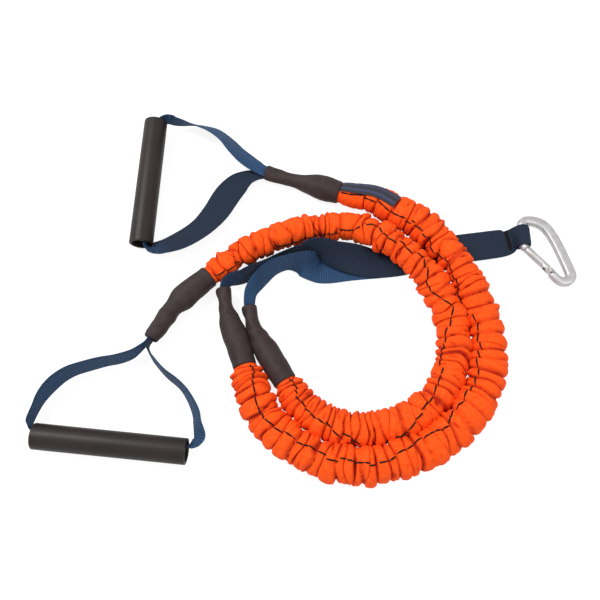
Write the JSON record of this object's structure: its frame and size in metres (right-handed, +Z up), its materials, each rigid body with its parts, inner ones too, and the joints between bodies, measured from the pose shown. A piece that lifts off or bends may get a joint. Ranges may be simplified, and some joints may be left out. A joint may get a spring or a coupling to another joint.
{
  "type": "resistance tube",
  "caption": "Resistance tube: ribbed elastic tubes with webbing handles, rubber sleeves and a folded anchor strap on a snap carabiner.",
  "frame": {"origin": "on the floor under the middle of everything but the elastic tubes", "axes": "+X towards the carabiner along the floor, +Y towards the raised handle, +Z up from the floor"},
  "size_m": [0.4654, 0.343, 0.0328],
  "materials": {
    "grip_plastic": "satin dark brown",
    "sleeve_rubber": "matte shrunk tube",
    "navy_webbing": "woven ribs",
    "orange_fabric": "pleated woven cover",
    "latex": "smooth latex",
    "band_steel": "plain steel",
    "stopper_plastic": "moulded",
    "aluminium": "satin, slightly worn",
    "dark_thread": "dense stitches",
    "tag_weave": "woven stripes"
  },
  "bodies": {
    "tubes": {"tube_cover_1": "orange_fabric", "tube_cover_2": "orange_fabric", "tube_core_1": "latex", "tube_core_2": "latex", "handle_sleeve_1": "sleeve_rubber", "handle_sleeve_2": "sleeve_rubber", "anchor_sleeve_1": "sleeve_rubber", "anchor_sleeve_2": "sleeve_rubber", "handle_crimp_1": "band_steel", "handle_crimp_2": "band_steel", "anchor_crimp_1": "band_steel", "anchor_crimp_2": "band_steel", "handle_plug_1": "stopper_plastic", "handle_plug_2": "stopper_plastic", "anchor_plug_1": "stopper_plastic", "anchor_plug_2": "stopper_plastic", "anchor_strap": "navy_webbing", "anchor_stitch": "dark_thread", "woven_tag": "tag_weave"},
    "handle_1": {"handle_strap_1": "navy_webbing"},
    "handle_2": {"handle_strap_2": "navy_webbing"},
    "grip_roller_1": {"grip_1": "grip_plastic"},
    "grip_roller_2": {"grip_2": "grip_plastic"},
    "carabiner": {"carabiner_body": "aluminium", "gate_rivet": "band_steel"},
    "gate": {"carabiner_gate": "aluminium", "gate_spring": "band_steel"}
  },
  "joints": [
    {"name": "handle_1_swing", "type": "hinge", "parent": "tubes", "child": "handle_1", "pos_m": [-0.0439, 0.1055, 0.009], "axis": [0.3094, 0.9509, 0], "range_deg": [-90, 90], "deforming": ["handle_strap_1"]},
    {"name": "handle_2_swing", "type": "hinge", "parent": "tubes", "child": "handle_2", "pos_m": [-0.1389, -0.0584, 0.011], "axis": [-0.8622, 0.5065, 0], "range_deg": [-90, 90], "deforming": ["handle_strap_2"]},
    {"name": "grip_1_spin", "type": "hinge", "parent": "handle_1", "child": "grip_roller_1", "pos_m": [-0.1545, 0.0307, 0.01064], "axis": [0.0439, 0.9977, 0.0523], "continuous": true},
    {"name": "grip_2_spin", "type": "hinge", "parent": "handle_2", "child": "grip_roller_2", "pos_m": [-0.2272, -0.1406, 0.01065], "axis": [0.9951, -0.0992, 0], "continuous": true},
    {"name": "carabiner_swing", "type": "hinge", "parent": "tubes", "child": "carabiner", "pos_m": [0.1893, 0.0403, 0.0072], "axis": [0, -1, 0], "range_deg": [-90, 100], "deforming": ["anchor_strap"]},
    {"name": "gate_swing", "type": "hinge", "parent": "carabiner", "child": "gate", "pos_m": [0.20942, 0.0079, 0.00541], "axis": [-0.0887, 0, -0.9961], "range_deg": [0, 20], "stiffness_Nm_per_rad": 0.05, "springref_deg": -17.19, "deforming": ["anchor_strap"]}
  ]
}
